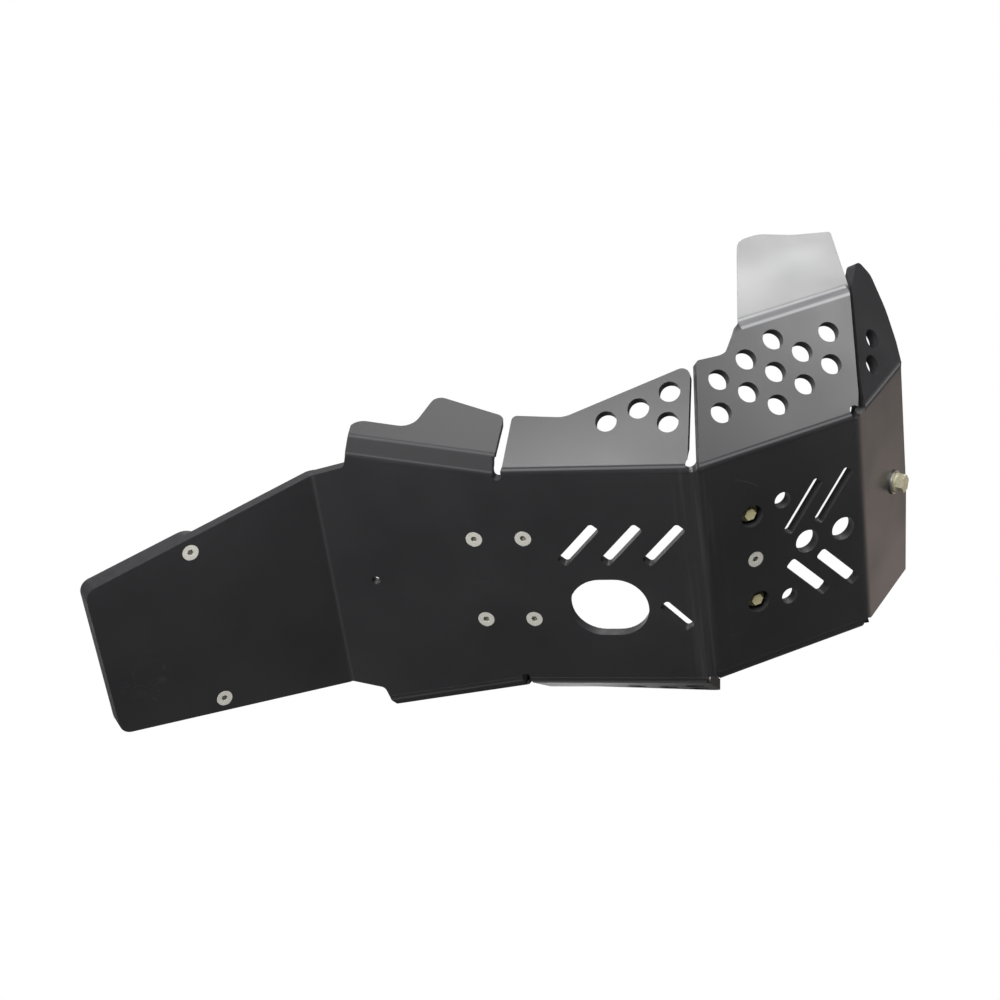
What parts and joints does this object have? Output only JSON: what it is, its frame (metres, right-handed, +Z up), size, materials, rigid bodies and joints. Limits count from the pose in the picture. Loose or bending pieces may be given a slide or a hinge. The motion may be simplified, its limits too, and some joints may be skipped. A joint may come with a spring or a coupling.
{
  "type": "skid plate",
  "caption": "Folded thick-plastic underbody guard with perforated flared wings, mud slots, a drain opening and a drop tail, with its clamp, bracket and screws.",
  "frame": {"origin": "Middle of the rear clamp's bore, on the axis of the frame's cross tube and midway between the four belly screws.", "axes": "+X points to the front of the motorcycle, +Y to its left and +Z up. The part stands as modelled on the end of its tail and the round of its front bend, so the belly slopes about 14.6 degrees, down towards the front."},
  "size_m": [0.5988, 0.3043, 0.1904],
  "materials": {
    "plate_plastic": "satin black extruded polyethylene sheet with fine scuffs",
    "doubler_plastic": "satin black extruded polyethylene sheet",
    "clamp_aluminium": "plain machined",
    "bracket_paint": "satin black powder coat on steel",
    "screw_steel": "bright zinc plate",
    "nut_steel": "dull zinc plate",
    "zinc_yellow": "yellow chromate on zinc plate"
  },
  "bodies": {
    "root": {"skid_plate": "plate_plastic", "tail_doubler": "doubler_plastic", "rear_clamp_base": "clamp_aluminium", "rear_clamp_cap": "clamp_aluminium", "front_bracket": "bracket_paint", "belly_screw_front_left": "screw_steel", "belly_screw_front_right": "screw_steel", "belly_screw_rear_left": "screw_steel", "belly_screw_rear_right": "screw_steel", "tail_screw_left": "screw_steel", "tail_screw_right": "screw_steel", "tail_nut_left": "nut_steel", "tail_nut_right": "nut_steel", "front_screw": "screw_steel", "front_nut": "nut_steel", "bracket_bolt_left": "zinc_yellow", "bracket_bolt_right": "zinc_yellow", "nose_bolt": "screw_steel", "nose_washer": "nut_steel", "nose_spacer": "clamp_aluminium"}
  },
  "joints": []
}
